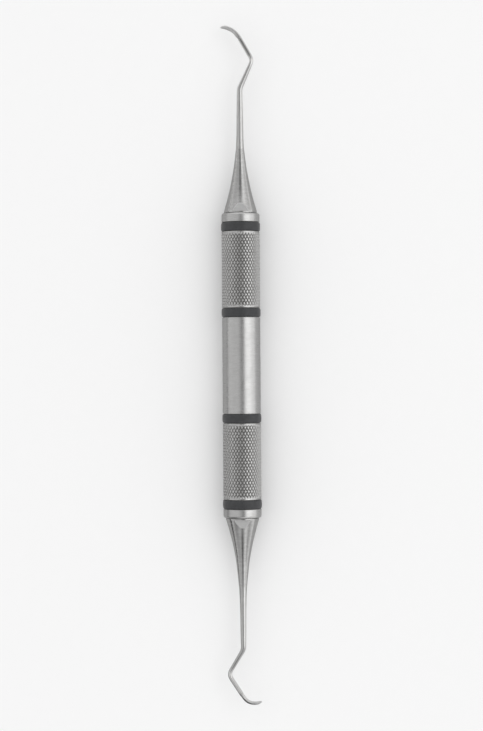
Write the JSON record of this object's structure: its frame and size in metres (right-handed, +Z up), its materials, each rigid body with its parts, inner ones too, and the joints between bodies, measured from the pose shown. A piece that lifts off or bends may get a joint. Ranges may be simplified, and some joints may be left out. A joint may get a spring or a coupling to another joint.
{
  "type": "double-ended dental hand scaler",
  "caption": "Slim steel hand instrument with a knurled hollow handle and a bent shank and curved scaling blade, screwed into a cone, at each end.",
  "frame": {"origin": "middle of the handle, on its axis", "axes": "+X along the handle towards the upper tip, +Z up as the instrument lies flat, shanks bent in the XY plane"},
  "size_m": [0.1699, 0.0098, 0.0098],
  "materials": {
    "handle_steel": "satin",
    "bush_steel": "satin",
    "cone_steel": "polished",
    "blade_steel": "polished",
    "seal_rubber": "matte",
    "ring_silicone": "matte"
  },
  "bodies": {
    "handle": {"handle_tube": "handle_steel", "upper_socket": "bush_steel", "lower_socket": "bush_steel", "upper_front_grip_ring": "ring_silicone", "upper_rear_grip_ring": "ring_silicone", "lower_front_grip_ring": "ring_silicone", "lower_rear_grip_ring": "ring_silicone"},
    "upper_seal": {"upper_seal_ring": "seal_rubber"},
    "upper_tip": {"upper_cone": "cone_steel", "upper_blade_shank": "blade_steel"},
    "lower_seal": {"lower_seal_ring": "seal_rubber"},
    "lower_tip": {"lower_cone": "cone_steel", "lower_blade_shank": "blade_steel"}
  },
  "joints": [
    {"name": "upper_tip_travel", "type": "slide", "parent": "handle", "child": "upper_seal", "axis": [1, 0, 0], "range_m": [0, 0.0048]},
    {"name": "upper_tip_unscrew", "type": "hinge", "parent": "upper_seal", "child": "upper_tip", "pos_m": [0.038, 0, 0], "axis": [1, 0, 0], "range_deg": [0, 2161]},
    {"name": "lower_tip_travel", "type": "slide", "parent": "handle", "child": "lower_seal", "axis": [-1, 0, 0], "range_m": [0, 0.0048]},
    {"name": "lower_tip_unscrew", "type": "hinge", "parent": "lower_seal", "child": "lower_tip", "pos_m": [-0.038, 0, 0], "axis": [-1, 0, 0], "range_deg": [0, 2161]}
  ],
  "couplings": [
    {"joint": "upper_tip_unscrew", "follows": "upper_tip_travel", "rad_per_m": 7854},
    {"joint": "lower_tip_unscrew", "follows": "lower_tip_travel", "rad_per_m": 7854}
  ]
}
